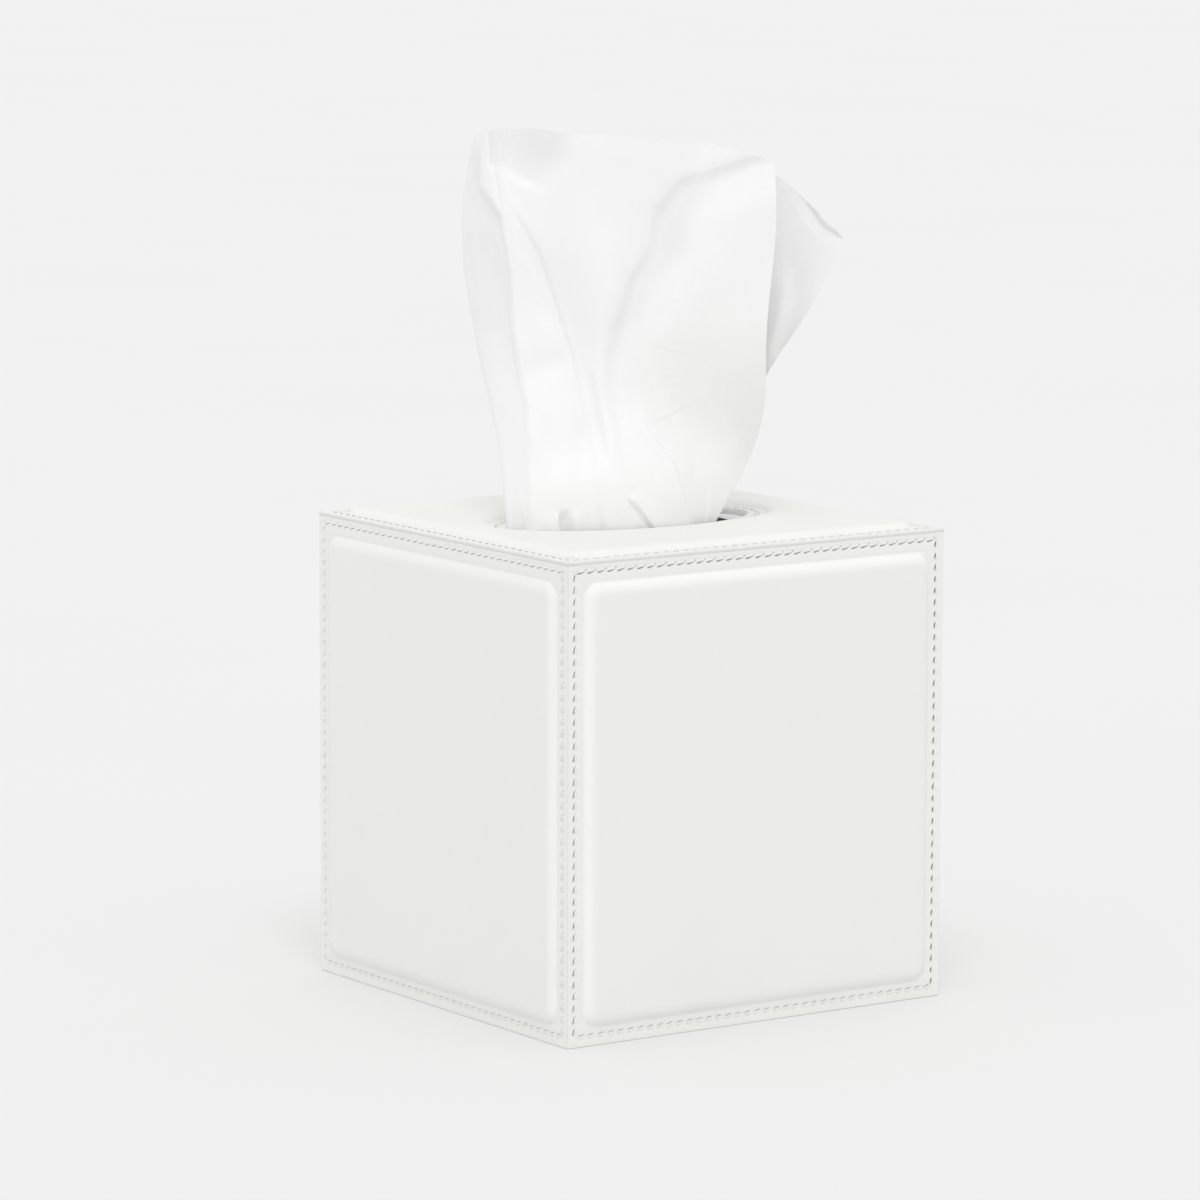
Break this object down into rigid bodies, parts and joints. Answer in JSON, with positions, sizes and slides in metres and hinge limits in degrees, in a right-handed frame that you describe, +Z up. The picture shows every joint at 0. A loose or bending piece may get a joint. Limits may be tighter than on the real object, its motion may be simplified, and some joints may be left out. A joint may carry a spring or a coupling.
{
  "type": "tissue box",
  "caption": "Cube-shaped padded leather cover with stitched edges over a card carton of tissues, with one sheet drawn up through the oval opening in its top.",
  "frame": {"origin": "middle of the base, on the table", "axes": "+Z up; -Y is the front, the face on the right in the picture; -X is the face on the left in the picture; the opening's long axis lies along X"},
  "size_m": [0.138, 0.138, 0.2595],
  "materials": {
    "leather": "off-white, smooth with a faint grain, satin",
    "board": "stiff grey-brown board, hidden",
    "foam": "thin soft foam, hidden",
    "lining": "off-white brushed lining",
    "thread": "off-white twisted thread",
    "card": "plain white folding card",
    "tissue": "soft white two-ply tissue"
  },
  "bodies": {
    "root": {"board_back": "board", "board_front": "board", "board_left": "board", "board_right": "board", "board_top": "board", "foam_back": "foam", "foam_front": "foam", "foam_left": "foam", "foam_right": "foam", "foam_top": "foam", "leather_back": "leather", "leather_front": "leather", "leather_left": "leather", "leather_right": "leather", "leather_top": "leather", "lining_back": "lining", "lining_front": "lining", "lining_left": "lining", "lining_right": "lining", "lining_top": "lining", "opening_facing": "leather", "thread_corner_back_left": "thread", "thread_corner_front_right": "thread", "thread_corner_left_front": "thread", "thread_corner_right_back": "thread", "thread_hem_back": "thread", "thread_hem_front": "thread", "thread_hem_left": "thread", "thread_hem_right": "thread", "thread_opening": "thread", "thread_top_back": "thread", "thread_top_front": "thread", "thread_top_left": "thread", "thread_top_right": "thread", "tissue_carton": "card", "tissue_sheet": "tissue", "tissue_stack": "tissue"}
  },
  "joints": []
}
